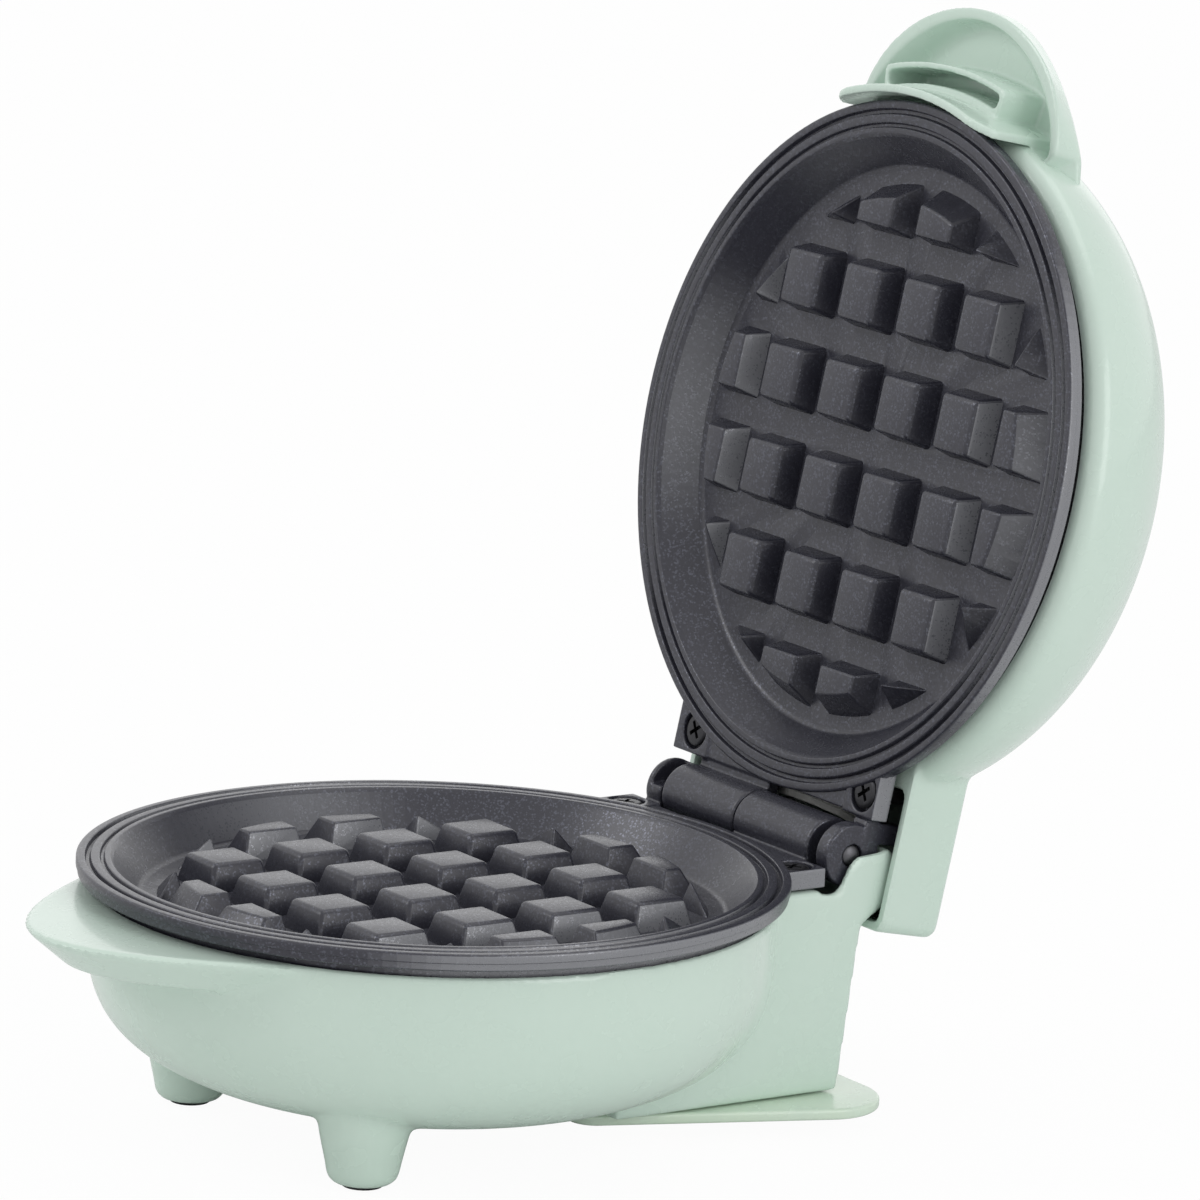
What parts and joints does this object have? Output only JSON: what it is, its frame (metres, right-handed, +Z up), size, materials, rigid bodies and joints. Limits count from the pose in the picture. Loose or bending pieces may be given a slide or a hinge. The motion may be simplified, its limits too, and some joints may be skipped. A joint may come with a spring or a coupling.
{
  "type": "mini waffle maker",
  "caption": "Round tabletop waffle iron: a bowl-shaped base on short feet and a domed lid hinged at the back, each carrying a dark grid plate.",
  "frame": {"origin": "On the rest surface, under the middle of the open object's bounding box.", "axes": "+Z up, +Y towards the hinge at the back, -Y towards the grips at the front, +X along the hinge axis towards the object's right as seen from the front."},
  "size_m": [0.1268, 0.2108, 0.1934],
  "materials": {
    "green_plastic": "glossy mint-green moulded plastic, slightly milky",
    "green_plastic_pale": "glossy mint-green plastic, a little yellower than the shells",
    "non_stick_coating": "cast aluminium under a dark grey non-stick coating with a fine metallic sparkle",
    "pin_steel": "turned steel pin, darkened",
    "dark_screw": "blackened steel, half matt",
    "foot_rubber": "matt black rubber",
    "heater_steel": "drawn steel tube, slightly oxidised",
    "shield_aluminium": "bare pressed aluminium",
    "plated_screw": "zinc-plated steel",
    "thermostat_case": "unglazed ceramic look, off-white",
    "terminal_plastic": "cream moulded plastic",
    "relief_rubber": "black moulded rubber",
    "red_lens": "glossy red lens",
    "lamp_glass": "frosted pale capsule",
    "sleeve_fibre": "woven glass-fibre sleeve, grey-white"
  },
  "bodies": {
    "base": {"lower_shell": "green_plastic", "base_plate": "green_plastic_pale", "lower_plate": "non_stick_coating", "hinge_pin": "pin_steel", "lower_plate_screw_left": "dark_screw", "lower_plate_screw_right": "dark_screw", "base_screw_left": "dark_screw", "base_screw_right": "dark_screw", "front_foot_pad_left": "foot_rubber", "front_foot_pad_right": "foot_rubber", "rear_foot_pad_left": "foot_rubber", "rear_foot_pad_right": "foot_rubber", "lower_heating_element": "heater_steel", "lower_heat_shield": "shield_aluminium", "lower_shield_screw": "plated_screw", "thermostat": "thermostat_case", "thermal_fuse": "heater_steel", "terminal_block": "terminal_plastic", "cord_strain_relief": "relief_rubber"},
    "lid": {"lid_shell": "green_plastic", "upper_plate": "non_stick_coating", "upper_plate_screw_left": "dark_screw", "upper_plate_screw_right": "dark_screw", "indicator_lens": "red_lens", "indicator_lamp": "lamp_glass", "upper_heating_element": "heater_steel", "upper_heat_shield": "shield_aluminium", "upper_shield_screw": "plated_screw", "lead_sleeve": "sleeve_fibre"}
  },
  "joints": [
    {"name": "lid_hinge", "type": "hinge", "parent": "base", "child": "lid", "pos_m": [0, 0.04295, 0.0477], "axis": [1, 0, 0], "range_deg": [0, 101.5]}
  ]
}
